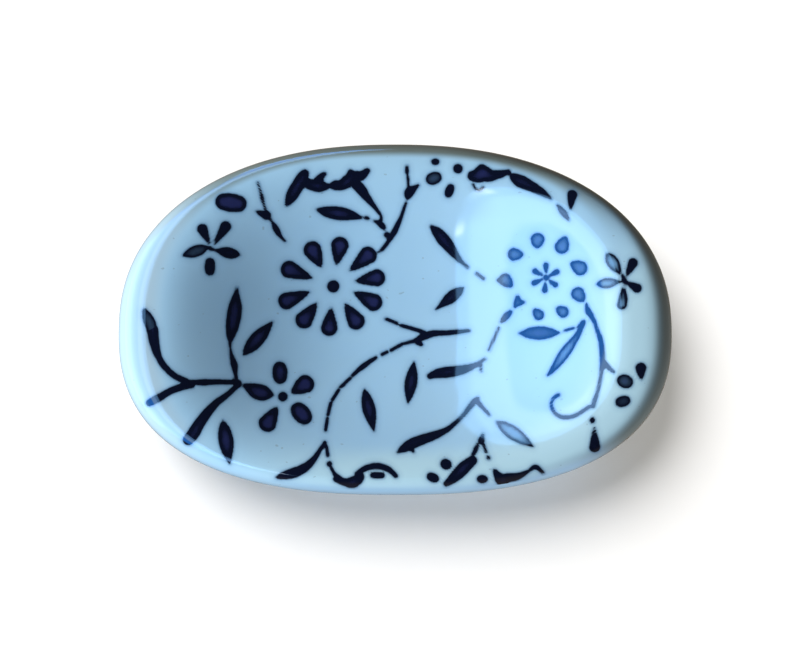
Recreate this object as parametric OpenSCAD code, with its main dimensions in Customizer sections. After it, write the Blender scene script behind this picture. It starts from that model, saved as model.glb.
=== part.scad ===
// Oval chopstick rest: a small, thick porcelain dish with a shallow hollow, a broad rolled lip
// and a low foot. One pressed and fired body carries a clear glaze fused over all but the foot.
// +Z is up and Z = 0 is the table. +X runs along the dish and -Y is the side towards the diner.

/* [Oval] */
// Length of the glazed dish, end to end
dish_length = 64; // [54:0.5:76]
// Width of the glazed dish, side to side
dish_width = 40.9; // [36:0.1:50]
// Fullness of the edge's oval, where 2 is a plain ellipse and more is squarer
edge_power = 2.34; // [2:0.02:2.8]
// How far the two ends swing towards the diner from the line of the middle
end_swing = 1.5; // [0:0.1:2.5]

/* [Lip] */
// Height of the crest of the lip above the table
crest_height = 11; // [10:0.1:14]
// Width of the lip at the two ends, from its crest out to the edge
lip_end = 4.7; // [3:0.1:6]
// Width of the lip along the two sides, from its crest out to the edge
lip_side = 1.8; // [1.4:0.1:3]
// How far the lip falls from its crest to the widest line of the dish
lip_fall = 3.2; // [2:0.1:4]
// How long the lip stays flat at the two ends before it rolls over, where 2 is a plain ellipse
end_flatness = 4; // [2:0.1:4]

/* [Hollow] */
// Depth of the hollow below the crest of the lip
hollow_depth = 4.8; // [3:0.1:5.5]
// How late the floor of the hollow turns over into the lip
lip_turn = 4; // [3:0.25:8]
// Fullness of the hollow's oval, which is squarer than the edge's
hollow_power = 2.56; // [2:0.02:2.8]

/* [Foot] */
// Length of the foot, outside
foot_length = 37; // [32:0.5:42]
// Width of the foot, outside
foot_width = 22.4; // [19:0.1:25]
// Height of the foot, from the table to where the underside springs from it
foot_height = 1.6; // [1.2:0.1:2.2]
// Thickness of the foot's wall
foot_wall = 2.2; // [1.6:0.1:3]
// Radius that wiping leaves on the foot's outer edge
foot_edge = 0.35; // [0.2:0.05:0.5]
// Depth of the well inside the foot
well_depth = 1.4; // [1:0.1:2]
// How full the underside swells between the foot and the lip, where 1 is a plain ellipse
underside_swell = 1.15; // [0.8:0.05:1.4]

/* [Glaze] */
// Thickness of the clear glaze
glaze_thickness = 0.3; // [0.2:0.05:0.5]
// Height of the wiped line above the table, where the glaze ends on the foot
glaze_line = 0.7; // [0.6:0.05:0.8]

/* [Smoothness] */
// Facets round each oval
facets = 64; // [48:8:80]
// Rings across the hollow, from the middle to the crest
hollow_rings = 10; // [8:1:12]
// Rings over the lip, and as many again under the dish
lip_rings = 6; // [5:1:8]

/* [Hidden] */

half_length = dish_length / 2;
half_width = dish_width / 2;
edge_height = crest_height - lip_fall;
foot_half_length = foot_length / 2;
foot_half_width = foot_width / 2;
clay = "ivory";
pale_blue = [0.62, 0.80, 0.92];
// Clearance past a face that a cut passes through
cut_over = 1;

// ---- The oval, and solids lofted through rings of it ----

function signed_power(v, p) = sign(v) * pow(abs(v), p);

// The dish is bent as a whole: its ends swing towards -Y with the square of the way out
function swing(x) = -end_swing * pow(x / half_length, 2);

// Points round an oval of the given half length, half width and fullness
function oval(half_l, half_w, power) =
    [for (i = [0 : facets - 1])
        let (t = 360 * i / facets, x = half_l * signed_power(cos(t), 2 / power))
        [x, half_w * signed_power(sin(t), 2 / power) + swing(x)]];

// Closed solid through a chain of rings [half length, half width, height, fullness]. It starts
// and ends at poles on the middle line. From the ring numbered fold on, it runs back inside
// itself, and its facets are split the other way so that they match those of the other face.
module lofted(rings, start_height, end_height, fold) {
    last = len(rings) - 1;
    points = concat(
        [[0, 0, start_height]],
        [for (r = rings, p = oval(r[0], r[1], r[3])) [p[0], p[1], r[2]]],
        [[0, 0, end_height]]
    );
    end_pole = len(points) - 1;
    function at(ring, i) = 1 + ring * facets + i % facets;
    faces = concat(
        [for (i = [0 : facets - 1]) [0, at(0, i + 1), at(0, i)]],
        [for (r = [0 : last - 1], i = [0 : facets - 1])
            [at(r, i), at(r, i + 1), at(r + 1, r < fold ? i : i + 1)]],
        [for (r = [0 : last - 1], i = [0 : facets - 1])
            [at(r, r < fold ? i + 1 : i), at(r + 1, i + 1), at(r + 1, i)]],
        [for (i = [0 : facets - 1]) [at(last, i), at(last, i + 1), end_pole]]
    );
    polyhedron(points, faces);
}

// ---- The section of the dish, under a skin taken off all round ----

// Share of the hollow's depth gained at the share u of the way from its middle to the crest.
// It starts as the oval's own power, so the floor curves alike along all of its length, and
// levels off at the crest.
function hollow_rise(u) =
    ((hollow_power + lip_turn) * pow(u, hollow_power)
        - hollow_power * pow(u, hollow_power + lip_turn)) / lip_turn;

function floor_height(skin) = crest_height - hollow_depth - skin;

function hollow_section(skin) =
    [for (i = [1 : hollow_rings]) let (u = i / hollow_rings)
        [(half_length - lip_end) * u,
         (half_width - lip_side) * u,
         floor_height(skin) + hollow_depth * hollow_rise(u),
         hollow_power]];

// From just past the crest round to the widest line. The lip is a quarter of an ellipse along
// the two sides, and at the two ends it stays flat for longer and then rolls over more tightly.
function lip_section(skin) =
    [for (i = [1 : lip_rings]) let (t = 90 * i / lip_rings)
        [half_length - lip_end + (lip_end - skin) * pow(sin(t), 2 / end_flatness),
         half_width - lip_side + (lip_side - skin) * sin(t),
         edge_height + (lip_fall - skin) * cos(t),
         hollow_power + (edge_power - hollow_power) * sin(t)]];

// From just under the widest line in to the root of the foot, where the glaze runs down
// over the foot's wall
function underside_section(skin) =
    let (glaze = glaze_thickness - skin,
         root_length = foot_half_length + glaze,
         root_width = foot_half_width + glaze,
         root_height = foot_height - glaze)
    [for (i = [1 : lip_rings]) let (t = 90 * i / lip_rings, out = pow(cos(t), underside_swell))
        [root_length + (half_length - skin - root_length) * out,
         root_width + (half_width - skin - root_width) * out,
         edge_height - (edge_height - root_height) * pow(sin(t), underside_swell),
         edge_power]];

function dish_section(skin) =
    concat(hollow_section(skin), lip_section(skin), underside_section(skin));

// Down the foot's outer wall from the glaze line, round its wiped edge and on to its sole
function foot_section() =
    concat(
        [[foot_half_length, foot_half_width, glaze_line, edge_power]],
        [for (t = [0 : 30 : 90])
            [foot_half_length - foot_edge * (1 - cos(t)),
             foot_half_width - foot_edge * (1 - cos(t)),
             foot_edge * (1 - sin(t)),
             edge_power]]
    );

// ---- Sub-parts ----

// Prism on the oval of the foot's inner wall, drawn in by a gap
module well_block(height, gap) {
    linear_extrude(height)
        polygon(oval(
            foot_half_length - foot_wall - gap, foot_half_width - foot_wall - gap, edge_power));
}

// Fired body: dish and foot in one, with the well cut into the sole
module porcelain_body() {
    color(clay)
    difference() {
        lofted(
            concat(dish_section(glaze_thickness), foot_section()),
            floor_height(glaze_thickness),
            0,
            fold = len(dish_section(0)) + len(foot_section())
        );
        translate([0, 0, -cut_over]) well_block(well_depth + cut_over, 0);
    }
}

// Glaze over the hollow, the lip and the underside, down to the wiped line on the foot.
// Its inner face is the body's own outer face.
module glaze_coat() {
    inner = dish_section(glaze_thickness);
    outer = dish_section(0);
    color(pale_blue)
    lofted(
        concat(
            outer,
            [[foot_half_length + glaze_thickness, foot_half_width + glaze_thickness, glaze_line,
              edge_power],
             [foot_half_length, foot_half_width, glaze_line, edge_power]],
            [for (i = [len(inner) - 1 : -1 : 0]) inner[i]]
        ),
        floor_height(0),
        floor_height(glaze_thickness),
        fold = len(outer) + 1
    );
}

// Glaze that lines the well inside the foot, down to the same wiped line
module well_glaze() {
    color(pale_blue)
    difference() {
        translate([0, 0, glaze_line]) well_block(well_depth - glaze_line, 0);
        translate([0, 0, glaze_line - cut_over])
            well_block(well_depth - glaze_thickness - glaze_line + cut_over, glaze_thickness);
    }
}

porcelain_body();
glaze_coat();
well_glaze();
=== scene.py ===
"""Looks of the oval porcelain chopstick rest: its pale blue glaze over a cobalt pattern of flowers
and vines, the bare clay of its foot, and the plain white table that it stands on."""

import math

import bmesh
import bpy
import numpy as np
from mathutils import Matrix, Vector


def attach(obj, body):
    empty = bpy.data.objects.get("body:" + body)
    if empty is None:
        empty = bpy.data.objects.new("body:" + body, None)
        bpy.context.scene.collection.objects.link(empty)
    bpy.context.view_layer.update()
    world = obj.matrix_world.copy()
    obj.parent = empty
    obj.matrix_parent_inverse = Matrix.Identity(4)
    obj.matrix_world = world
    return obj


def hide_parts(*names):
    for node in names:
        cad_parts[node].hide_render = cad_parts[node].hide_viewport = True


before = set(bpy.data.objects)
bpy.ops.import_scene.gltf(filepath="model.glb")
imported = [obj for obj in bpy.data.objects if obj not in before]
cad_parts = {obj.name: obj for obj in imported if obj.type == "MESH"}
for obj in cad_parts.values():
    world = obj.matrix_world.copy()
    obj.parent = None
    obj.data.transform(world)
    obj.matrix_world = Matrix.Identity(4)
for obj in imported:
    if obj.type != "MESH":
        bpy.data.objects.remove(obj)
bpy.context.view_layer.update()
scene = bpy.context.scene

MM = 0.001

# ---- The photograph's frame ----
# The dish was photographed from nearly straight above, leaning a little towards the diner. The
# camera looks along one line at a point over the middle of the table, as high as the dish's edge.

frame_width = 811
frame_height = 651
# Where the point that the camera stands over shows, and how large a millimetre is there
middle_x, middle_y = 395.2, 318.7
pixels_per_mm = 8.63
lean = math.radians(8)
camera_distance = 330
aim_height = 7.8
sensor_width = 36

aim = Vector((0, 0, aim_height))
camera_right = Vector((1, 0, 0))
camera_up = Vector((0, math.cos(lean), math.sin(lean)))
towards_camera = Vector((0, -math.sin(lean), math.cos(lean)))


def seen_at(spots):
    """Where the camera sees each spot, given in mm as rows of an array: columns right and down."""
    away = spots - np.array(aim)
    size = camera_distance / (camera_distance - away @ np.array(towards_camera)) * pixels_per_mm
    right = middle_x + away @ np.array(camera_right) * size
    down = middle_y - away @ np.array(camera_up) * size
    return np.stack([right, down], axis=1)


camera = bpy.data.objects.new("camera", bpy.data.cameras.new("camera"))
scene.collection.objects.link(camera)
scene.camera = camera
camera.data.sensor_width = sensor_width
camera.data.lens = sensor_width * camera_distance * pixels_per_mm / frame_width
camera.data.clip_start = 0.01
camera.data.clip_end = 20
centre_right = (frame_width / 2 - middle_x) / pixels_per_mm
centre_up = (middle_y - frame_height / 2) / pixels_per_mm
stand = aim + towards_camera * camera_distance + camera_right * centre_right + camera_up * centre_up
camera.matrix_world = Matrix.Translation(stand * MM) @ Matrix(
    (camera_right, camera_up, towards_camera)
).transposed().to_4x4()
scene.view_settings.view_transform = "Standard"

# ---- The table ----
# A plain white table top of matt board, wide enough that no edge of it comes into the picture.
# The dish stands loose on it.

table_span = 4.0
table_white = (0.90, 0.90, 0.90)
table_grain = (0.92, 0.92, 0.92)
grain_size = 0.004

bm = bmesh.new()
bmesh.ops.create_grid(bm, x_segments=8, y_segments=8, size=table_span / 2)
table_mesh = bpy.data.meshes.new("table")
bm.to_mesh(table_mesh)
bm.free()
table = bpy.data.objects.new("table", table_mesh)
scene.collection.objects.link(table)
# The dish's outer side is dark in the photograph, so the table sends no light back up to it
table.visible_diffuse = False
table.visible_glossy = False


class Level:
    """One number that a shader node gives. Arithmetic on it adds the Math nodes for the sum."""

    def __init__(self, socket):
        self.socket = socket

    def worked(self, operation, *parts):
        node = self.socket.id_data.nodes.new("ShaderNodeMath")
        node.operation = operation
        for place, part in zip(node.inputs, parts):
            if isinstance(part, Level):
                node.id_data.links.new(part.socket, place)
            else:
                place.default_value = part
        return Level(node.outputs[0])

    def __add__(self, other):
        return self.worked("ADD", self, other)

    def __radd__(self, other):
        return self.worked("ADD", other, self)

    def __sub__(self, other):
        return self.worked("SUBTRACT", self, other)

    def __rsub__(self, other):
        return self.worked("SUBTRACT", other, self)

    def __mul__(self, other):
        return self.worked("MULTIPLY", self, other)

    def __rmul__(self, other):
        return self.worked("MULTIPLY", other, self)

    def __truediv__(self, other):
        return self.worked("DIVIDE", self, other)

    def __rtruediv__(self, other):
        return self.worked("DIVIDE", other, self)

    def at_least(self, other):
        return self.worked("MAXIMUM", self, other)

    def at_most(self, other):
        return self.worked("MINIMUM", self, other)

    def rising(self, low, high):
        """0 up to low, 1 from high on, and a smooth rise between them."""
        share = ((self - low) / (high - low)).at_least(0).at_most(1)
        return share * share * (3 - 2 * share)

    def falling(self, low, high):
        return 1 - self.rising(low, high)


class Finish:
    """The shader nodes of one material, or of the room round the table."""

    def __init__(self, owner):
        owner.use_nodes = True
        self.tree = owner.node_tree
        self.tree.nodes.clear()

    def node(self, kind, inputs, stops=(), **settings):
        """A node of the kind, with its settings and stops set before the sockets in inputs."""
        made = self.tree.nodes.new("ShaderNode" + kind)
        for name, value in settings.items():
            setattr(made, name, value)
        if stops:
            ramp = made.color_ramp.elements
            while len(ramp) < len(stops):
                ramp.new(1)
            for element, (position, colour) in zip(ramp, stops):
                element.position = position
                element.color = (*colour, 1)
        for name, value in inputs.items():
            place = made.inputs[name]
            if isinstance(value, Level):
                self.tree.links.new(value.socket, place)
            elif isinstance(value, bpy.types.NodeSocket):
                self.tree.links.new(value, place)
            elif place.type == "RGBA":
                place.default_value = (*value, 1)
            else:
                place.default_value = value
        return made

    def mixed(self, share, first, second):
        """The first colour, turned into the second by the share."""
        # The node's two colours are its inputs 6 and 7, since others share their names
        sockets = {"Factor": share, 6: first, 7: second}
        return self.node("Mix", sockets, data_type="RGBA").outputs[2]

    def place(self):
        """The spot on the piece, in metres."""
        return self.node("TexCoord", {}).outputs["Object"]

    def cloud(self, size, detail=2, stretch=(1, 1, 1)):
        """Noise from 0 to 1 whose patches are about size metres across."""
        where = self.node("Mapping", {"Vector": self.place(), "Scale": stretch}).outputs[0]
        sockets = {"Vector": where, "Scale": 1 / size, "Detail": detail}
        return Level(self.node("TexNoise", sockets).outputs["Fac"])

    def surface(self, sockets):
        """Ends the tree of a material in one opaque surface with these sockets."""
        shader = self.node("BsdfPrincipled", sockets)
        self.node("OutputMaterial", {"Surface": shader.outputs[0]})


board = bpy.data.materials.new("table_white")
finish = Finish(board)
finish.surface(
    {
        "Base Color": finish.mixed(finish.cloud(grain_size, detail=4), table_white, table_grain),
        "Roughness": 0.9,
        "Specular IOR Level": 0.0,
    }
)
table_mesh.materials.append(board)

# ---- The light ----
# Soft light from far off gives the table its one shadow. The dish is lit apart from it, by a wide
# soft window at its left end, the sky over the near left and the pale wall at the far left.

table_group = bpy.data.collections.new("lit_table")
table_group.objects.link(table)
dish_group = bpy.data.collections.new("lit_dish")


def far_light(name, shines_from, strength, spread, colour=(1, 1, 1)):
    """A light as far away as the sky, so many degrees across, which lights the table alone."""
    lamp = bpy.data.lights.new(name, "SUN")
    lamp.energy = strength
    lamp.color = colour
    lamp.angle = math.radians(spread)
    made = bpy.data.objects.new(name, lamp)
    scene.collection.objects.link(made)
    made.matrix_world = Vector(shines_from).to_track_quat("Z", "Y").to_matrix().to_4x4()
    made.visible_glossy = False
    made.light_linking.receiver_collection = table_group
    return made


far_light("shadow_light", (-0.53, 0.62, 1), 3.5, spread=46)
# The rest of the table's light falls evenly, and the dish takes none of it away
table_light = far_light("table_light", (0, 0, 1), 0.90, spread=20, colour=(0.96, 0.91, 0.82))
table_light.light_linking.blocker_collection = table_group

lamp_distance = 1.3
lamp_width = 0.55


def soft_window(name, heading, rise, watts, colour):
    """A soft round light that lights the dish alone, from a heading and a rise in degrees."""
    lamp = bpy.data.lights.new(name, "AREA")
    lamp.shape = "DISK"
    lamp.size = lamp_width
    lamp.energy = watts
    lamp.color = colour
    made = bpy.data.objects.new(name, lamp)
    scene.collection.objects.link(made)
    heading, rise = math.radians(heading), math.radians(rise)
    away = Vector((math.cos(heading), math.sin(heading), math.tan(rise))).normalized()
    made.matrix_world = Matrix.Translation(away * lamp_distance) @ (
        away.to_track_quat("Z", "Y").to_matrix().to_4x4()
    )
    made.visible_glossy = False
    made.light_linking.receiver_collection = dish_group


soft_window("window_light", 180, 23, 27.5, (0.78, 0.87, 0.89))
soft_window("sky_light", 225, 42, 3.0, (0.40, 0.80, 1.0))
soft_window("far_wall_light", 135, 23, 2.5, (1.0, 0.95, 0.90))

# The room, as each kind of ray meets it. The glaze mirrors a window on the left, with a straight
# right edge, the sky in it, a pale curtain along its edge, and a bright sill and pane.
room = bpy.data.worlds.new("room")
scene.world = room
finish = Finish(room)
ray = finish.node("LightPath", {})
heading = finish.node("SeparateXYZ", {"Vector": finish.node("TexCoord", {}).outputs["Generated"]})
east, north, up = (Level(heading.outputs[axis]) for axis in "XYZ")
slope_east = east / up.at_least(0.02)

# The window's edge, as east over up, and the band behind it as far out as farthest
window_edge = -0.157
edge_softness = 0.007
farthest = -2.0
low_glow = (1.8, 4.2, 8.8)
sky_glow = (0.4, 2.6, 9.0)
cream_glow = (2.6, 5.0, 9.2)
curtain_glow = (1.3, 3.0, 5.6)
sill_glow = (9.0, 10.5, 12.5)
gleam_glow = (9.0, 9.0, 8.5)
band = (slope_east - farthest) / -farthest
panes = finish.node(
    "ValToRGB",
    {"Fac": band.at_least(0).at_most(1)},
    stops=[
        (0.30, low_glow),
        (0.62, sky_glow),
        (0.785, sky_glow),
        (0.805, cream_glow),
        (0.88, cream_glow),
        (0.895, curtain_glow),
    ],
).outputs[0]
in_window = slope_east.falling(window_edge - edge_softness, window_edge) * up.rising(0.0, 0.06)
# It ends short of the near side, and its corner at the far left is hidden
in_window = in_window * north.rising(-0.65, -0.52)
in_window = in_window * (1 - north.rising(0.55, 0.65) * east.falling(-0.4, -0.3))
dim_brown = (0.20, 0.17, 0.13)
dim_ceiling = (0.05, 0.06, 0.08)
walls = finish.mixed(up.rising(0.1, 0.6), dim_brown, dim_ceiling)
mirrored = finish.mixed(in_window, walls, panes)
# The gleam is a slanting bar across this direction, which the lip draws out into a long streak
bar_east, bar_north, bar_up = 0.3055, 0.7825, 0.5425
off_bar = (bar_east * east + bar_north * north + bar_up * up).worked("ABSOLUTE")
in_bar = off_bar.falling(0.015, 0.07) * east.falling(-0.9, -0.78) * up.rising(0.03, 0.10)
mirrored = finish.mixed(in_bar, mirrored, gleam_glow)
# The sunlit sill shows as a bright spot where the far side of the hollow meets the lip
on_sill = slope_east.rising(window_edge - 0.05, window_edge - 0.03)
on_sill = on_sill * slope_east.falling(window_edge - 0.01, window_edge) * up.rising(0.3, 0.5)
on_sill = on_sill * north.falling(-0.52, -0.46) * north.rising(-0.60, -0.50)
mirrored = finish.mixed(on_sill, mirrored, sill_glow)
# What a dull ray meets: a dim room, and the bright table in front of the dish
dim_room = (0.05, 0.045, 0.04)
table_bounce = (1.3, 1.35, 1.45)
in_front = (0.45 * east - 0.82 * north - 0.33 * up).rising(0.3, 1.0)
ambient = finish.mixed(in_front, dim_room, table_bounce)
seen = finish.mixed(Level(ray.outputs["Is Glossy Ray"]), ambient, mirrored)
backdrop_white = (1.0, 1.0, 1.0)
seen = finish.mixed(Level(ray.outputs["Is Camera Ray"]), seen, backdrop_white)
glow = finish.node("Background", {"Color": seen, "Strength": 1.0})
finish.node("OutputWorld", {"Surface": glow.outputs[0]})
# The room only shows in the glaze and lights it dimly, so no lamp light is sampled from it
room.cycles.sampling_method = "NONE"

# ---- The porcelain body ----
# One piece of porcelain clay: dish, lip and foot, pressed in an oval mould and fired to a warm
# white. It shows bare only on the foot, below the line where the glaze was wiped off.

half_length, half_width = 32.0, 20.45
edge_power = 2.34
end_swing = 1.5
crest_height = 11.0
lip_end, lip_side, lip_fall = 4.7, 1.8, 3.2
# The lip stays flat for longer at the ends than along the sides, where it is a plain ellipse
end_flatness = 4.0
hollow_depth = 4.8
lip_turn = 4.0
hollow_power = 2.56
foot_half_length, foot_half_width, foot_height = 18.5, 11.2, 1.6
foot_wall, foot_edge = 2.2, 0.35
well_depth = 1.4
underside_swell = 1.15
glaze_thickness = 0.3
glaze_line = 0.7
edge_height = crest_height - lip_fall


def hollow_rings(skin, count):
    """Rings [half length, half width, height, fullness] from the middle out to the crest."""
    rings = []
    for ring in range(1, count + 1):
        out = ring / count
        late = hollow_power * out ** (hollow_power + lip_turn)
        rise = ((hollow_power + lip_turn) * out**hollow_power - late) / lip_turn
        height = crest_height - hollow_depth - skin + hollow_depth * rise
        rings.append(
            ((half_length - lip_end) * out, (half_width - lip_side) * out, height, hollow_power)
        )
    return rings


def lip_rings(skin, count):
    """Rings from just past the crest round to the widest line, closest by the crest."""
    rings = []
    for ring in range(1, count + 1):
        turn = math.pi / 2 * (ring / count) ** 1.6
        rings.append(
            (
                half_length - lip_end + (lip_end - skin) * math.sin(turn) ** (2 / end_flatness),
                half_width - lip_side + (lip_side - skin) * math.sin(turn),
                edge_height + (lip_fall - skin) * math.cos(turn),
                hollow_power + (edge_power - hollow_power) * math.sin(turn),
            )
        )
    return rings


def underside_rings(skin, count):
    """Rings from under the widest line in to the root of the foot."""
    over = glaze_thickness - skin
    root = (foot_half_length + over, foot_half_width + over, foot_height - over)
    rings = []
    for ring in range(1, count + 1):
        turn = math.pi / 2 * ring / count
        out = max(math.cos(turn), 0) ** underside_swell
        rings.append(
            (
                root[0] + (half_length - skin - root[0]) * out,
                root[1] + (half_width - skin - root[1]) * out,
                edge_height - (edge_height - root[2]) * math.sin(turn) ** underside_swell,
                edge_power,
            )
        )
    return rings


def foot_ring(draw_in, height):
    """A ring of the foot, drawn in from its outer wall by so much."""
    return (foot_half_length - draw_in, foot_half_width - draw_in, height, edge_power)


def rolled_dish(name, start_height, rings, end_height, around):
    """A closed mesh through the rings, from a pole on the middle line to another pole.

    A flat grid with one row for each ring is rolled up, each row drawn out into its own oval,
    and the seam and the poles are welded. The dish is bent: both ends swing to the diner.
    """
    bm = bmesh.new()
    last = len(rings) + 1
    bmesh.ops.create_grid(bm, x_segments=around, y_segments=last, size=0.5)
    poles = {0: start_height, last: end_height}
    for corner in bm.verts:
        turn = math.tau * round((corner.co.x + 0.5) * around) / around
        level = round((corner.co.y + 0.5) * last)
        if level in poles:
            corner.co = (0, 0, poles[level])
            continue
        half_l, half_w, height, power = rings[level - 1]
        x, y = math.cos(turn), math.sin(turn)
        reach = (abs(x) ** power + abs(y) ** power) ** (-1 / power)
        x, y = x * reach * half_l, y * reach * half_w
        corner.co = (x, y - end_swing * (x / half_length) ** 2, height)
    bmesh.ops.remove_doubles(bm, verts=bm.verts, dist=0.0001)
    bmesh.ops.recalc_face_normals(bm, faces=bm.faces)
    for face in bm.faces:
        face.smooth = True
    mesh = bpy.data.meshes.new(name)
    bm.to_mesh(mesh)
    bm.free()
    mesh.transform(Matrix.Scale(MM, 4))
    return mesh


def dish_piece(name, mesh, material):
    """The mesh as a piece of the dish that rides on the table with it and takes its light."""
    mesh.materials.append(material)
    piece = bpy.data.objects.new(name, mesh)
    scene.collection.objects.link(piece)
    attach(piece, "root")
    dish_group.objects.link(piece)
    return piece


sole_edge = [
    foot_ring(foot_edge * (1 - math.cos(turn)), foot_edge * (1 - math.sin(turn)))
    for turn in np.linspace(0, math.pi / 2, 6)
]
inner_round = 0.15
inner_edge = [
    foot_ring(
        foot_wall - inner_round * (1 - math.sin(turn)),
        inner_round * (1 - math.cos(turn)),
    )
    for turn in np.linspace(0, math.pi / 2, 5)
]
body_mesh = rolled_dish(
    "porcelain",
    crest_height - hollow_depth - glaze_thickness,
    hollow_rings(glaze_thickness, 24)
    + lip_rings(glaze_thickness, 16)
    + underside_rings(glaze_thickness, 16)
    + [foot_ring(0, glaze_line)]
    + sole_edge
    + inner_edge
    + [foot_ring(foot_wall, well_depth)],
    well_depth,
    around=360,
)

fired_clay = bpy.data.materials.new("fired_clay")
finish = Finish(fired_clay)
height = Level(finish.node("SeparateXYZ", {"Vector": finish.place()}).outputs["Z"])
clay_white = (0.80, 0.74, 0.64)
clay_shade = (0.66, 0.58, 0.47)
flash_brown = (0.50, 0.33, 0.18)
iron_speck = (0.20, 0.13, 0.09)
clay = finish.mixed(finish.cloud(0.006, detail=5), clay_white, clay_shade)
# The clay flashes a warm brown just under the line where the glaze ends
wander = (finish.cloud(0.0015) - 0.5) * 0.0003
flash = (height + wander).rising(0.00035, 0.0007) * 0.75
clay = finish.mixed(flash, clay, flash_brown)
specks = finish.cloud(0.00045, detail=1).rising(0.70, 0.76)
clay = finish.mixed(specks * 0.7, clay, iron_speck)
rough_clay = finish.cloud(0.00025, detail=3)
finish.surface(
    {
        "Base Color": clay,
        "Roughness": 0.78 + 0.15 * rough_clay,
        "Specular IOR Level": 0.3,
        "Normal": finish.node(
            "Bump", {"Height": rough_clay, "Distance": 0.00004, "Strength": 0.8}
        ).outputs[0],
    }
)
porcelain = dish_piece("porcelain", body_mesh, fired_clay)
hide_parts("porcelain_body")

# ---- The cobalt pattern ----
# Flowers, leaves and vines in dark blue cobalt, printed on the fired clay and then glazed over: a
# stain with no thickness. Each mark is a run of round brush touches (right, down, half width) in
# the photograph's pixels, with how pale its heart is inside its dark outline. In the marks that lie
# in the mirrored window on the right of the hollow, the paler hearts are partly the lighter wash of
# the print and partly a painted reflection.


def stroke(*touches, pale=0.25):
    """A smooth stroke through the touches."""
    ends = [touches[0], *touches, touches[-1]]
    run = []
    for before, start, stop, after in zip(ends, ends[1:], ends[2:], ends[3:]):
        for step in np.linspace(0, 1, 5)[:-1]:
            before_, start_, stop_, after_ = map(np.array, (before, start, stop, after))
            bend = 2 * start_ + (stop_ - before_) * step
            bend = bend + (2 * before_ - 5 * start_ + 4 * stop_ - after_) * step**2
            run.append((bend + (3 * start_ - before_ - 3 * stop_ + after_) * step**3) / 2)
    run.append(np.array(touches[-1], float))
    return np.array(run), pale


def leaf(tail, tip, width, belly=0.5, pale=0.25):
    """A straight pointed leaf, widest at the share belly of its length."""
    tail, tip = np.array(tail, float), np.array(tip, float)
    along = tip - tail
    curve = math.log(0.5) / math.log(belly)
    touches = []
    for share in np.linspace(0, 1, 11):
        swell = math.sin(math.pi * share**curve)
        touches.append((*(tail + along * share), 0.6 + (width / 2 - 0.6) * swell))
    return np.array(touches), pale


def petal(point, round_end, width, pale=0.25):
    """A drop with one pointed end and one round end."""
    point, round_end = np.array(point, float), np.array(round_end, float)
    along = (round_end - point) / np.hypot(*(round_end - point))
    heart = round_end - along * width / 2
    touches = [
        (*(point + (heart - point) * share), 0.5 + (width / 2 - 0.5) * share**0.75)
        for share in np.linspace(0, 1, 6)
    ]
    return np.array(touches), pale


def blob(middle, length, width, turn=0, pale=0.25):
    """An oval touch, turned clockwise from level by so many degrees."""
    reach = max((length - width) / 2, 0.01)
    along = np.array((math.cos(math.radians(turn)), math.sin(math.radians(turn))))
    touches = [
        (*(np.array(middle) + along * reach * share), width / 2 * (1 - 0.12 * share**2))
        for share in (-1, -0.5, 0, 0.5, 1)
    ]
    return np.array(touches), pale


# The daisy
daisy = [
    blob((333.2, 286.3), 11.5, 11.5, pale=0.1),
    petal((321, 266.5), (308.5, 242.5), 17.5),
    petal((336.5, 264), (341.3, 237.3), 17),
    petal((350.3, 270.3), (374.3, 250), 17),
    petal((356, 281), (384.7, 276.5), 16.5),
    petal((354.5, 292.5), (381, 306), 17),
    petal((345.3, 304.3), (360.5, 328), 17),
    petal((331, 308.5), (328.5, 335.5), 16),
    petal((316.5, 303.5), (299, 326.5), 17),
    petal((309, 292), (279, 304), 16.5),
    petal((311.5, 278), (281.5, 266.5), 17),
]

# The ring flower: a star of drops inside a ring of nine petals
star = np.array((546, 277.7))
star_tips = (
    (546, 262.8), (559, 270.8), (557.2, 286.4), (544.6, 292.8), (532, 284), (532.8, 270)
)
ring_flower = [blob(star, 6, 5.4, pale=0.2)]
ring_flower += [petal(star + (tip - star) * 0.3, tip, 5.2, pale=0.2) for tip in star_tips]


def ring_petal(middle, size, corner):
    """A petal of the ring, round but for one corner that it points with."""
    outward = np.array(middle, float) - corner
    outward = outward / np.hypot(*outward)
    return petal(corner, np.array(middle) + outward * size / 2, size, pale=0.6)


ring_flower += [
    ring_petal((537.5, 240), 13.4, (537, 247.2)),
    ring_petal((562, 246.5), 13.6, (565.6, 237.2)),
    ring_petal((580, 268), 14.2, (571.4, 263)),
    ring_petal((578.3, 294.2), 13.2, (583.4, 301)),
    ring_petal((562.9, 311.8), 11.2, (557, 308.2)),
    ring_petal((538.6, 314.7), 10.2, (534.2, 309.6)),
    ring_petal((518, 302.4), 7.6, (517.4, 295.6)),
    ring_petal((505.4, 280), 12.2, (511.6, 286.2)),
    ring_petal((514.3, 254.4), 12.4, (522.6, 254.4)),
    stroke((515, 306.5, 1.2), (518, 302.5, 3.0), (524, 302.4, 0.9), pale=0.6),
    stroke((498.4, 280, 1.4), (503, 280, 4.4), pale=0.55),
]

# The lance-petalled flower
lance_flower = [
    petal((209.3, 243.5), (200.3, 224.5), 10),
    petal((214.5, 244), (228.5, 222.3), 10.5),
    leaf((213.5, 249.8), (239.5, 255), 10.5, belly=0.6),
    leaf((208.5, 247), (183.5, 255.5), 11, pale=0.5),
    blob((210, 266.7), 18.5, 10, 90),
    blob((210.5, 248.5), 5, 4, pale=0.45),
]

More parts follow.
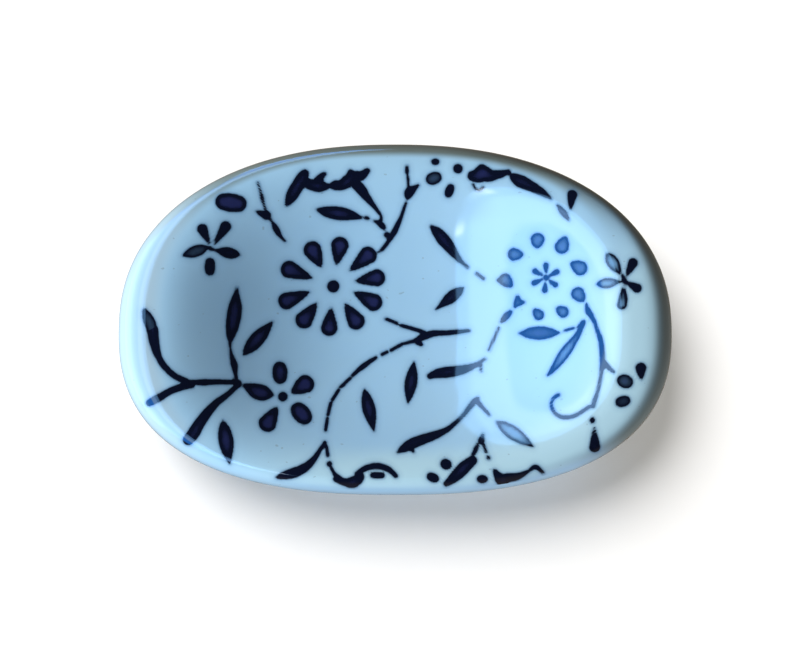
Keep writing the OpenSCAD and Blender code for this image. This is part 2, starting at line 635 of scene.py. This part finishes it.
# The round-petalled flower
round_flower = [
    blob((282.9, 396.7), 9.4, 9),
    blob((280, 372.8), 23.5, 14.5, 88),
    petal((292, 392.5), (312.5, 379.5), 18),
    blob((301.5, 413.5), 26, 17, 48),
    petal((277, 407.5), (263.5, 430.5), 17.5),
    stroke(
        (244, 385.5, 1.5), (250, 388, 4.4), (257, 391.5, 7.4), (263, 393, 7.4), (269, 394.3, 3.8),
        (273, 395.5, 0.8),
    ),
]

# The leafy branch that it stands on
leafy_branch = [
    blob((237.5, 383.7), 8.6, 8.4),
    stroke(
        (235, 382.3, 2.4), (221, 382, 2.2), (205, 382.3, 2.9), (194, 382.5, 2.3), (184, 382, 2.6),
    ),
    stroke((145, 311, 2.2), (147.5, 317, 4.6), (150.5, 324, 5.4), (152.5, 331, 5.2), pale=0.5),
    stroke(
        (152.5, 330, 5.6), (155, 345, 4.6), (159, 358, 3.2), (166, 368, 3.0), (175, 376, 2.8),
        (186, 381.5, 3.0),
    ),
    stroke(
        (192, 385, 3.0), (180, 387.5, 3.2), (168, 392.5, 3.1), (158, 398.5, 3.6),
        (149.5, 403, 3.0),
    ),
    stroke(
        (236, 387, 2.2), (226, 396, 2.6), (216, 403.5, 3.4), (207, 413.5, 4.4), (200, 423, 5.2),
        (194, 433, 5.8), (188.5, 440, 5.0),
    ),
    stroke(
        (236.5, 380, 1.6), (235.5, 373, 1.8), (234.3, 365, 3.2), (232, 357, 2.0),
        (230.3, 349, 1.2),
    ),
    stroke(
        (237, 288, 0.8), (236.3, 296, 3.2), (235.3, 306, 6.2), (234, 316, 7.0), (232.5, 326, 6.2),
        (231, 334, 4.4), (230.2, 341, 2.0), (230, 347, 1.2),
    ),
    leaf((243.7, 354.5), (272.5, 322), 14, belly=0.45),
    leaf((223, 420.8), (229.7, 463.3), 14.5, belly=0.45),
]

# The top left of the pattern: a bud and a thorny stem
bud_and_thorns = [
    blob((231, 202.7), 33, 18, 8),
    stroke(
        (258, 183, 0.9), (260, 190, 1.0), (262, 197.5, 1.6), (264, 205, 1.0), (266, 211, 1.2),
        (269, 217, 1.6), (272, 221.7, 0.9), (275, 227, 2.6), (278, 232.5, 2.6), (281, 237, 1.4),
        (285, 241, 0.7),
    ),
    petal((256.5, 211.5), (270.5, 217), 8.5),
]

# A leafy cluster cut off by the lip, with a leaf hanging under it
cut_off_cluster = [
    stroke(
        (286.5, 205, 1.2), (289.5, 200, 4.2), (293.5, 192.5, 6.0), (298.5, 184.5, 6.0),
        (302.5, 177.5, 5.6), (305, 173.5, 3.8),
    ),
    stroke(
        (306, 183, 4.5), (312, 185, 5.2), (319, 186, 5.8), (325, 186.5, 3.6), (330, 185.8, 2.2),
        (336, 185.3, 4.6), (342, 184.8, 5.0), (348, 181, 6.0), (354, 176, 4.6), (361, 176, 4.5),
        (367, 171, 2.8),
    ),
    stroke((317, 182, 4.2), (321, 177, 3.2), (324.5, 174, 1.8)),
    stroke((349.5, 178, 4.5), (350.5, 172, 2.6)),
    stroke(
        (357, 185, 5.0), (361.5, 190, 4.8), (366.5, 197, 3.6), (372, 203.5, 2.4), (377, 210, 1.5),
        (381, 215.5, 0.8),
    ),
    stroke(
        (317, 209.8, 0.7), (322, 210.8, 3.2), (328, 212, 5.2), (336, 213, 6.3), (344, 214, 6.0),
        (352, 215.5, 4.2), (358, 217, 2.2), (361.5, 217.5, 1.0),
    ),
    blob((366.7, 218), 6, 2.8, 12),
    stroke((374, 221, 0.8), (378.5, 222.5, 2.2), (382, 225.5, 2.8), (384, 228, 1.6)),
    stroke((381.5, 216.5, 0.8), (380.5, 221, 1.8)),
]

# The stem between the cluster and the daisy
daisy_stem = [
    stroke(
        (407, 166.5, 1.0), (407, 171, 1.8), (407.5, 175, 0.8), (408, 179, 1.2), (408.3, 184, 0.9),
        (408.5, 188, 1.5),
    ),
    stroke(
        (418.5, 185.3, 0.8), (413, 189, 3.2), (409.5, 192, 4.6), (408, 195.5, 3.2),
        (407.5, 198.5, 1.2),
    ),
    stroke(
        (406.3, 202.5, 0.9), (404, 208, 1.3), (401.5, 216, 1.4), (398.3, 223.3, 2.2),
        (395, 230.5, 2.6), (391, 237, 2.4), (387.5, 242.5, 1.8), (383, 248.5, 1.7),
        (380, 251, 0.8), (376, 253.5, 0.7),
    ),
    blob((387, 235), 6.5, 5.5),
]

# The far edge, right of the middle
far_edge_marks = [
    blob((435.3, 161.8), 8.3, 6),
    blob((458, 168.7), 9, 9),
    blob((433.8, 178.3), 17, 12, -20, pale=0.5),
    blob((449.5, 190.7), 14.5, 8, -70, pale=0.35),
    stroke(
        (472.5, 176, 4.8), (478, 175.5, 6.8), (483, 173.5, 7.8), (489, 175.5, 6.0),
        (496, 175, 4.4), (503, 173.5, 3.2), (508.5, 171.8, 2.2),
    ),
    stroke((481, 171, 5.2), (482, 169, 4.6)),
    stroke(
        (472.8, 184, 0.8), (475.5, 188.5, 0.9), (479.5, 190, 0.9), (483, 187.5, 0.9), pale=0.9,
    ),
    stroke(
        (511, 175, 1.5), (515, 178, 4.4), (521, 181.5, 6.0), (529, 185.3, 5.2), (537, 189.3, 4.2),
        (544, 193.5, 3.0), (551, 198.7, 0.8),
    ),
    petal((570.5, 209), (572.8, 190.3), 9.5),
    leaf((557.5, 205), (569, 220), 5.5, pale=0.9),
]

# The vine that wanders across the middle, broken into dashes
vine_dashes = (
    ((325.8, 430), (327.5, 418.3)),
    ((328, 415), (330.8, 403.3)),
    ((332.5, 400), (338.6, 390)),
    ((340.8, 386.8), (344, 384.4)),
    ((345.8, 382.2), (350, 378.4)),
    ((382, 354.4), (387, 352)),
    ((391, 350.2), (402.4, 344)),
)
vine = [stroke((*start, 1.4), (*stop, 1.4)) for start, stop in vine_dashes]
vine += [
    stroke(
        (352.5, 375.5, 1.4), (358, 370.5, 1.8), (363, 366.5, 2.4), (369, 362, 2.0),
        (376, 357.6, 1.3),
    ),
    stroke(
        (404, 343.6, 1.4), (410, 342, 1.5), (416, 340.5, 2.2), (423, 336.8, 3.3), (431, 334, 3.1),
        (440, 333, 2.4), (450, 332.6, 2.1), (460, 331.6, 1.7), (469, 330.6, 1.0),
    ),
    stroke((417, 342, 2.2), (421, 344.2, 2.0)),
    stroke((386, 319, 1.2), (397, 323.3, 1.4)),
    stroke((401, 325.5, 1.4), (412, 328.5, 1.6), (423, 332, 1.8)),
]

# Its leaves, and the twigs below them
vine_leaves = [
    leaf((364.6, 389.8), (374, 430.6), 12.5, belly=0.45),
    leaf((414, 362.4), (408, 402.6), 12),
    stroke(
        (430, 376, 2.8), (437, 373.6, 4.2), (446, 372.4, 5.2), (455, 371.2, 4.8),
        (463, 369.6, 4.0), (471, 367, 2.8), (478, 363.6, 1.6), (485, 359, 0.9),
    ),
    stroke((480.7, 362, 1.2), (481, 371, 0.8), pale=0.6),
    stroke(
        (398, 452.4, 0.8), (403, 449, 3.4), (410, 445, 5.0), (418, 441.4, 5.0), (426, 438.4, 4.6),
        (436, 435, 3.8), (446, 430.4, 2.6), (455, 423.5, 1.9), (463, 415.8, 1.7), (470, 407, 2.2),
        (474.5, 401.5, 2.3), (477.5, 398.5, 1.5),
    ),
    stroke((411, 448, 2.6), (413.4, 451.4, 1.0)),
    stroke((477, 401, 2.0), (483, 408, 1.3), (489.5, 415, 0.9), pale=0.6),
    leaf((496.8, 422), (533, 446.4), 12.5, belly=0.45, pale=0.9),
]

# The leaves and twigs round the ring flower
ring_leaves = [
    stroke(
        (431.5, 226.5, 1.2), (437, 232, 4.6), (443, 239, 6.0), (449, 246.5, 5.2),
        (455, 254.5, 3.4), (459.5, 259.8, 2.2), (462, 262.5, 1.2),
    ),
    stroke((460.5, 261, 1.6), (467.8, 267.3, 1.0)),
    stroke((476.5, 273.5, 1.2), (483.2, 278.5, 1.3), pale=0.6),
    leaf((436, 309.2), (462.8, 288), 11, belly=0.6),
    leaf((519.4, 333.4), (559.2, 332.7), 12.8, pale=0.5),
    stroke((565.5, 330.5, 1.0), (574, 328, 1.0), pale=0.6),
    stroke((579, 326.5, 1.3), (583.6, 322, 1.8), (580.6, 329, 2.2), (576.4, 337, 2.8), pale=0.56),
    stroke(
        (576.4, 337, 2.8), (570, 346, 4.2), (563, 355.5, 4.8), (555, 367, 3.0), (548, 375.2, 0.9),
        pale=0.8,
    ),
    stroke((510.5, 312, 1.6), (507, 315.5, 2.8), (503.5, 319.5, 2.3), (501, 322, 0.8), pale=0.56),
    stroke((498.6, 328, 1.0), (493.6, 339.6, 1.1), (489, 350, 0.9), pale=0.6),
]

# The vine down the right side, and its curl
right_vine = [
    stroke(
        (586.4, 304, 0.9), (588.2, 311.2, 2.5), (591.5, 316, 2.2), (595, 323, 1.6),
        (597.6, 331, 1.7), (600.4, 339, 2.1), (601.8, 347.5, 2.3), (602.6, 360, 2.2),
        (601, 376, 1.6), (597.8, 391, 1.5), (593, 406, 2.0), pale=0.56,
    ),
    stroke((602.4, 360, 1.9), (607, 366, 2.1), (613.5, 372, 1.1), pale=0.56),
    stroke(
        (589, 407, 1.6), (584, 410.5, 1.4), (576.5, 415.2, 1.5), (568, 417.6, 1.6),
        (560, 416.4, 1.6), (554, 412, 1.4), (551.4, 405, 1.3), (553.4, 398.5, 1.2),
        (558.5, 395, 1.5), pale=0.56,
    ),
    blob((592.6, 420.5), 6.5, 4.6, 90),
    petal((594.5, 428), (595, 452), 10.5),
]

# The flower and the buds on the right lip
lip_flower = [
    petal((626.6, 276.2), (634.9, 258.8), 9.3),
    petal((626, 282), (640.9, 290.4), 8.8),
    stroke((622.6, 276.4, 1.6), (626, 283, 2.0), pale=0.4),
    leaf((621.4, 275), (607.2, 254), 11.5, belly=0.6, pale=1.0),
    leaf((620.8, 281.8), (597.3, 284.4), 9.5, belly=0.6, pale=1.0),
    petal((623.6, 286.4), (621.8, 309.3), 9.2, pale=1.0),
    stroke((624.8, 290, 0.9), (625.3, 299, 2.0), (624.2, 306.4, 1.8)),
    blob((625.3, 381.5), 17.5, 13, 20, pale=0.5),
    petal((641.5, 379), (640.8, 363), 10.5),
    blob((623, 401.5), 16, 10.5, -15, pale=0.45),
]

# The near edge
near_edge_marks = [
    stroke(
        (277, 477.6, 1.0), (284, 475.6, 3.6), (292, 473.6, 4.8), (300, 470.6, 4.6),
        (308, 465.5, 3.8), (315, 458, 2.6), (320.5, 449.5, 1.8), (325, 443, 1.8),
    ),
    stroke((326.5, 446.5, 1.2), (328, 455.5, 1.6)),
    blob((329.5, 464), 5.4, 5),
    stroke((331, 467, 1.2), (334, 473, 1.5), (338.5, 479, 3.4)),
    stroke(
        (337, 479, 3.4), (345, 482.4, 3.4), (353, 482.4, 5.4), (360, 478, 4.0), (361, 473.5, 2.0),
    ),
    stroke((357, 474, 2.2), (366, 468.3, 2.6), (377, 466, 2.8), (388, 469, 2.6), (396, 476, 1.9)),
    blob((377.6, 475.4), 15, 6),
    blob((433, 477.7), 13.5, 8.5, 25),
    blob((446.2, 464.3), 12.4, 10, 35),
    stroke((446.5, 484, 2.6), (455, 477, 5.0), (464, 468, 6.0), (472.8, 460.4, 4.4)),
    petal((483, 434.2), (480.6, 444), 6.2, pale=0.45),
    stroke((478, 444, 1.4), (475.8, 449.5, 2.2), (472.8, 456, 1.5)),
    stroke((483.5, 444, 1.2), (486.2, 452, 1.1), pale=0.5),
    blob((488.6, 457.8), 4.8, 3.6, 60),
    blob((482.5, 479.2), 11.5, 8),
    stroke(
        (495, 471, 2.0), (501.5, 480, 5.4), (508, 478, 4.4), (518, 476.5, 3.2),
        (528.5, 471.5, 1.3),
    ),
    stroke((529.5, 470.5, 1.3), (536, 467, 2.2), (543, 472.5, 1.3)),
]

brush_marks = [
    *daisy, *ring_flower, *lance_flower, *round_flower, *leafy_branch, *bud_and_thorns,
    *cut_off_cluster, *daisy_stem, *far_edge_marks, *vine, *vine_leaves, *ring_leaves,
    *right_vine, *lip_flower, *near_edge_marks,
]


def printed(spots):
    """How far each seen spot lies outside the nearest mark, in pixels, and how pale the mark is.

    Inside a mark the depth is rounded off, so that it stays smooth across a thin line.
    """
    reach = 9  # pixels past its edge to which a mark is felt
    far = 30.0  # what a spot with no mark near it gets
    outside = np.full(len(spots), far)
    paleness = np.zeros(len(spots))
    for touches, pale in brush_marks:
        low = (touches[:, :2] - touches[:, 2:]).min(axis=0) - reach
        high = (touches[:, :2] + touches[:, 2:]).max(axis=0) + reach
        near = np.flatnonzero(((spots > low) & (spots < high)).all(axis=1))
        closest = np.full(len(near), far)
        for start, stop in zip(touches, touches[1:]):
            along = stop[:2] - start[:2]
            from_start = spots[near] - start[:2]
            share = np.clip(from_start @ along / max(along @ along, 1e-6), 0, 1)
            gap = np.hypot(*(from_start - share[:, None] * along).T)
            width = start[2] + (stop[2] - start[2]) * share
            depth = np.where(gap > width, gap - width, (gap**2 - width**2) / (2 * width))
            closest = np.minimum(closest, depth)
        nearer = closest < outside[near]
        outside[near[nearer]] = closest[nearer]
        paleness[near[nearer]] = pale
    return outside, paleness


# ---- The glaze ----
# A clear, faintly blue glass about 0.3 mm thick, melted over the hollow, the lip and the underside,
# down to a wiped line on the foot. Its blue is a little deeper in soft patches. Its colour also
# holds painted light on the top of the lip at the right and near sides, and painted shade further
# over the lip on the far and right sides.

bead = 0.12
glaze_edge = [
    (
        foot_half_length + glaze_thickness - bead * (1 - math.cos(turn)),
        foot_half_width + glaze_thickness - bead * (1 - math.cos(turn)),
        glaze_line + bead * (1 - math.sin(turn)),
        edge_power,
    )
    for turn in np.linspace(0, math.pi / 2, 4)
]
inside = hollow_rings(glaze_thickness, 14)
inside += lip_rings(glaze_thickness, 6)
inside += underside_rings(glaze_thickness, 6)
glaze_mesh = rolled_dish(
    "glaze",
    crest_height - hollow_depth,
    hollow_rings(0, 84)
    + lip_rings(0, 24)
    + underside_rings(0, 16)
    + glaze_edge
    + [foot_ring(0, glaze_line)]
    + inside[::-1],
    crest_height - hollow_depth - glaze_thickness,
    around=640,
)
places = np.empty(len(glaze_mesh.vertices) * 3)
glaze_mesh.vertices.foreach_get("co", places)
places = places.reshape(-1, 3) / MM
normals = np.empty(len(glaze_mesh.vertices) * 3)
glaze_mesh.vertices.foreach_get("normal", normals)
faces_up = normals[2::3]
outside, paleness = printed(seen_at(places))
# The print is in the dish and on its lip, down to where the outer side grows steep
steep = 0.35
outside[faces_up < steep] = outside.max()


def share_of_oval(half_l, half_w, power):
    """How far out each spot lies, as a share of the way to this oval round the bent dish."""
    across = places[:, 1] + end_swing * (places[:, 0] / half_length) ** 2
    along_share, across_share = np.abs(places[:, 0]) / half_l, np.abs(across) / half_w
    return (along_share**power + across_share**power) ** (1 / power)


# How far over the lip each spot lies: 0 is the crest, and 1 is the widest line and all below it
of_crest = share_of_oval(half_length - lip_end, half_width - lip_side, hollow_power)
of_edge = share_of_oval(half_length, half_width, edge_power)
over_lip = np.clip((of_crest - 1) / np.maximum(of_crest - of_edge, 0.01), -1, 1)
over_lip[faces_up < 0] = 1


def keep_on_spots(mesh, **kept_values):
    """Keeps one value of each name on every vertex, for the glaze's material to read."""
    for name, values in kept_values.items():
        stored = mesh.attributes.new(name, "FLOAT", "POINT")
        stored.data.foreach_set("value", np.full(len(mesh.vertices), values, np.float32))


keep_on_spots(
    glaze_mesh, print_gap=outside / pixels_per_mm, print_pale=paleness, over_lip=over_lip
)

glassy = bpy.data.materials.new("blue_white_glaze")
finish = Finish(glassy)
gap = Level(finish.node("Attribute", {}, attribute_name="print_gap").outputs["Fac"])
pale = Level(finish.node("Attribute", {}, attribute_name="print_pale").outputs["Fac"])
# The cobalt bleeds a little into the glaze, and its edge wanders as a stencilled one does
bleed = 0.07
gap = gap - bleed + (finish.cloud(0.0007) - 0.5) * 0.10
thick_glaze = (0.45, 0.69, 0.92)
thin_glaze = (0.50, 0.74, 0.95)
glaze_colour = finish.mixed(finish.cloud(0.02, detail=3).rising(0.3, 0.7), thick_glaze, thin_glaze)
# Painted light: the top of the lip is painted paler on its right and near sides, standing in for
# the light that falls there
spot = finish.node("SeparateXYZ", {"Vector": finish.place()})
x, y, z = (Level(spot.outputs[axis]) * (1 / MM) for axis in "XYZ")
painted_light_glaze = (0.62, 0.84, 0.96)
painted_light_share = (x / half_length - y / half_width).rising(0.15, 0.85) * z.rising(9.7, 10.9)
glaze_colour = finish.mixed(painted_light_share, glaze_colour, painted_light_glaze)
# Painted shade: over the lip the glaze is painted grey on the far and right sides, where the roll
# of the lip turns away from the light. It is also a little greyer over the lip at the left end
painted_shade_grey = (0.21, 0.24, 0.22)
end_grey = (0.56, 0.62, 0.66)
over_lip = Level(finish.node("Attribute", {}, attribute_name="over_lip").outputs["Fac"])
far_lip_painted_shade = (y / half_width).rising(0.35, 0.9) * over_lip.rising(-0.25, 0.35)
right_lip_painted_shade = (1.6 * x / half_length + y / half_width).rising(0.1, 0.7)
right_lip_painted_shade = right_lip_painted_shade * over_lip.rising(0.5, 0.85)
painted_shade_share = far_lip_painted_shade.at_least(right_lip_painted_shade) * 0.95
glaze_colour = finish.mixed(painted_shade_share, glaze_colour, painted_shade_grey)
on_left_end = (x / -half_length).rising(0.6, 0.9) * over_lip.rising(-0.3, 0.3)
glaze_colour = finish.mixed(on_left_end * 0.5, glaze_colour, end_grey)
# Pinpricks, where a bubble burst in the kiln
pit_grey = (0.22, 0.28, 0.34)
pit = finish.cloud(0.0006, detail=0, stretch=(1, 1.4, 1)).rising(0.83, 0.86)
glaze_colour = finish.mixed(pit * 0.35, glaze_colour, pit_grey)
# Each mark has a blue halo, a dark outline, and a lighter heart that is open in the pale marks; in
# the marks under the mirrored window on the right, that open heart is partly the print's lighter
# wash and partly a painted reflection
halo_blue = (0.10, 0.22, 0.42)
ink_edge = (0.002, 0.004, 0.018)
ink_heart = (0.030, 0.036, 0.15)
ink_wash_and_reflection = (0.22, 0.42, 0.68)
halo = gap.falling(0.0, 0.30) * 0.40 + gap.falling(0.0, 0.9) * 0.16
glaze_colour = finish.mixed(halo, glaze_colour, halo_blue)
heart = gap.falling(-0.54, -0.32)
ink = finish.mixed(heart * (0.35 + pale).at_most(1), ink_edge, ink_heart)
open_heart = gap.falling(-0.42, -0.16) * pale.rising(0.35, 1.0)
ink = finish.mixed(open_heart * 0.85, ink, ink_wash_and_reflection)
printed_colour = finish.mixed(gap.falling(-0.09, 0.07), glaze_colour, ink)
wave = finish.cloud(0.006, detail=1)
finish.surface(
    {
        "Base Color": printed_colour,
        "Roughness": 0.03 + 0.03 * finish.cloud(0.003),
        "IOR": 1.5,
        "Normal": finish.node(
            "Bump", {"Height": wave, "Distance": 0.00006, "Strength": 0.5}
        ).outputs[0],
    }
)
glaze = dish_piece("glaze", glaze_mesh, glassy)
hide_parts("glaze_coat")

# ---- The glaze in the well of the foot ----
# A thin pool of the same glass that lines the shallow well inside the foot, parted from the rest
# by the bare sole.

well_half_length = foot_half_length - foot_wall
well_half_width = foot_half_width - foot_wall
fillet = 0.3


def well_ring(draw_in, height):
    """A ring of the well, drawn in from its wall by so much."""
    return (well_half_length - draw_in, well_half_width - draw_in, height, edge_power)


ceiling = well_depth - glaze_thickness
lining = [
    (
        (well_half_length - glaze_thickness) * share,
        (well_half_width - glaze_thickness) * share,
        ceiling,
        edge_power,
    )
    for share in (0.25, 0.5, 0.75, 0.9)
]
lining += [
    well_ring(
        glaze_thickness + fillet * (1 - math.sin(turn)), ceiling - fillet * (1 - math.cos(turn))
    )
    for turn in np.linspace(0, math.pi / 2, 6)
]
lining += [well_ring(glaze_thickness, glaze_line), well_ring(0, glaze_line)]
lining += [well_ring(0, well_depth)]
well_mesh = rolled_dish("well_pool", ceiling, lining, well_depth, around=240)
# No mark comes near the well, and it lies well inside the lip
keep_on_spots(well_mesh, print_gap=outside.max() / pixels_per_mm, print_pale=0, over_lip=-1)
well_pool = dish_piece("well_pool", well_mesh, glassy)
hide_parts("well_glaze")
